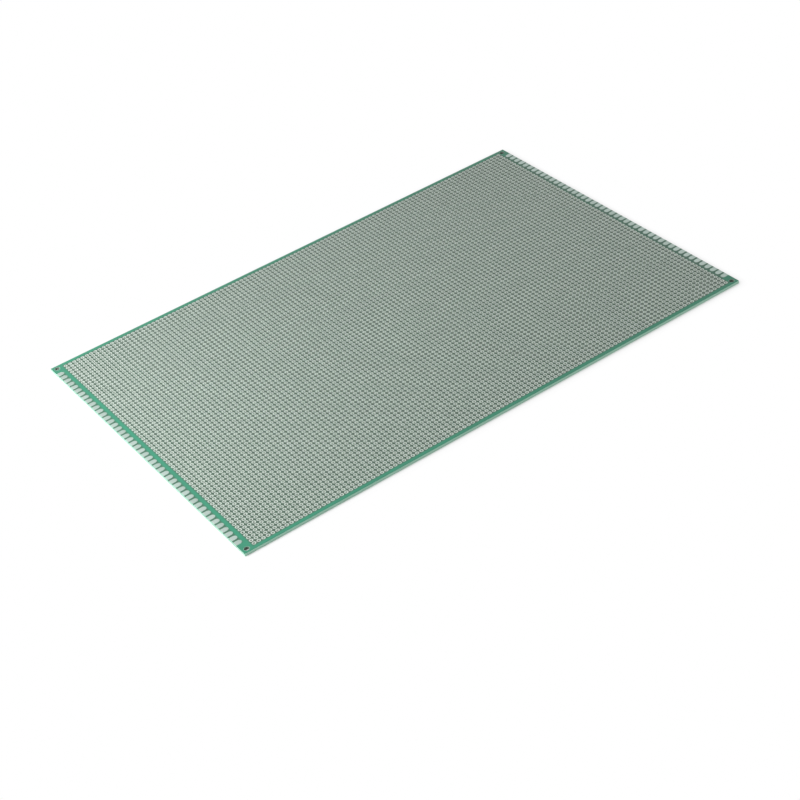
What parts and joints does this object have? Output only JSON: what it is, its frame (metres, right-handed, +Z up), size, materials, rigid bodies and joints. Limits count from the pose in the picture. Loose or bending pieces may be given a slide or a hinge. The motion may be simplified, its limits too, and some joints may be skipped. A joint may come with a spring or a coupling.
{
  "type": "bare circuit board",
  "caption": "Flat rectangular prototyping circuit board with a close grid of drilled solder pads, contact fingers along both short edges and a fixing hole in each corner.",
  "frame": {"origin": "middle of the board's underside", "axes": "+X along the long sides, from the short edge with the wide green strip to the other; +Y along the short sides; +Z up, out of the face that holds the pads"},
  "size_m": [0.3, 0.2, 0.0016],
  "materials": {
    "laminate": "bare glass-fibre laminate, sawn edges",
    "solder_mask": "smooth green lacquer, half gloss",
    "tinned_copper": "dull tinned copper"
  },
  "bodies": {
    "root": {"laminate": "laminate", "solder_mask": "solder_mask", "mask_bars": "solder_mask", "pad_rows": "tinned_copper", "left_fingers": "tinned_copper", "right_fingers": "tinned_copper"}
  },
  "joints": []
}
